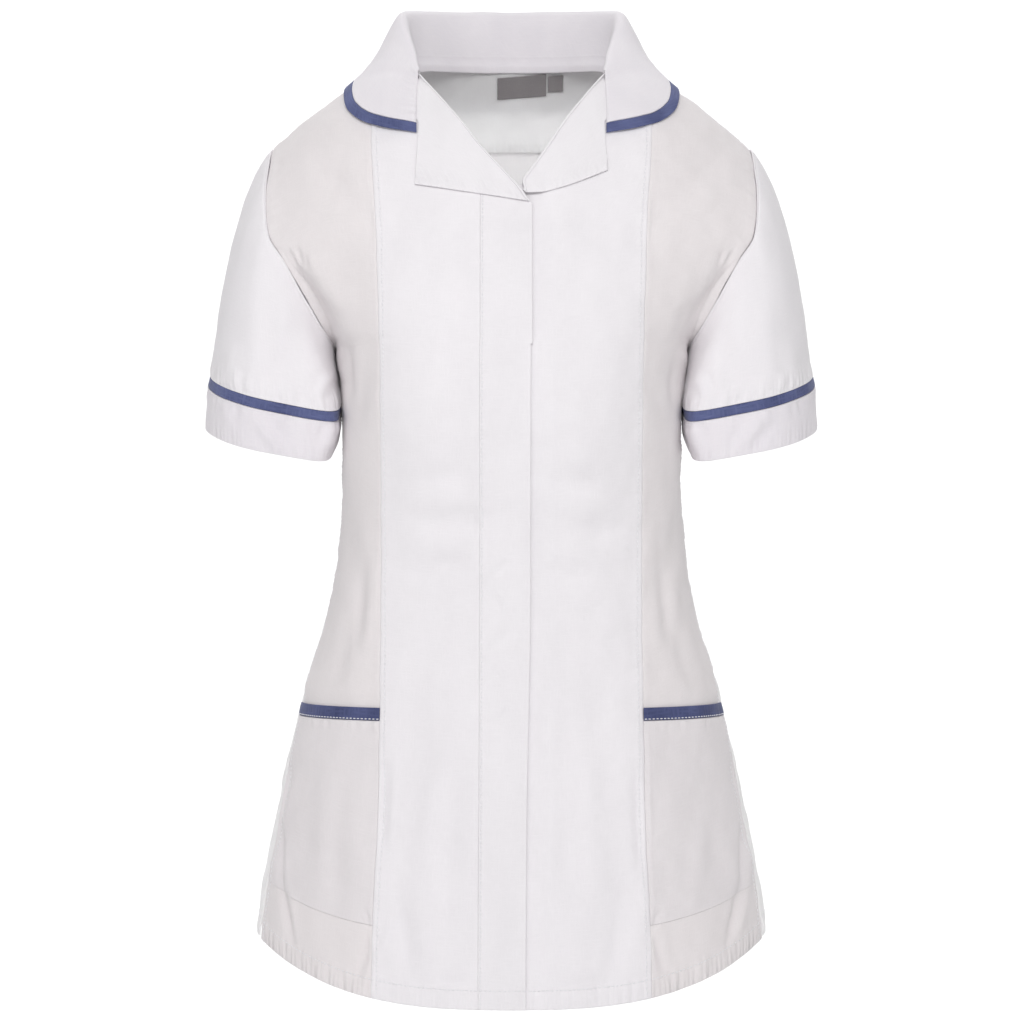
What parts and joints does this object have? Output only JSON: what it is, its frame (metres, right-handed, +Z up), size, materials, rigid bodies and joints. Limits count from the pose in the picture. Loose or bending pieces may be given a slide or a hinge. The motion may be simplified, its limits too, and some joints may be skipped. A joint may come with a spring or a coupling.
{
  "type": "medical tunic",
  "caption": "Hollow, worn-shape woman's medical tunic: collar with revers, fly front, short sleeves with trimmed cuffs, hip pockets, box-pleated back and side vents.",
  "frame": {"origin": "the middle of the neck, level with the tops of the shoulder seams, where the wearer holds the tunic up", "axes": "+Z up the wearer, +X to the wearer's left, +Y behind the wearer; the front faces -Y"},
  "size_m": [0.4616, 0.282, 0.7494],
  "materials": {
    "white_cotton": "matt plain-woven poly-cotton",
    "navy_twill": "matt twill tape",
    "grey_label": "smooth woven label"
  },
  "bodies": {
    "root": {"front_right": "white_cotton", "placket": "white_cotton", "front_left": "white_cotton", "side_front_right": "white_cotton", "side_front_left": "white_cotton", "back_yoke": "white_cotton", "back": "white_cotton", "sleeve_right": "white_cotton", "sleeve_left": "white_cotton", "sleeve_trim_right": "navy_twill", "sleeve_trim_left": "navy_twill", "cuff_right": "white_cotton", "cuff_left": "white_cotton", "collar": "white_cotton", "collar_trim": "navy_twill", "revers_right": "white_cotton", "revers_left": "white_cotton", "pocket_right": "white_cotton", "pocket_left": "white_cotton", "pocket_trim_right": "navy_twill", "pocket_trim_left": "navy_twill", "neck_label": "grey_label", "size_label": "grey_label"}
  },
  "joints": []
}
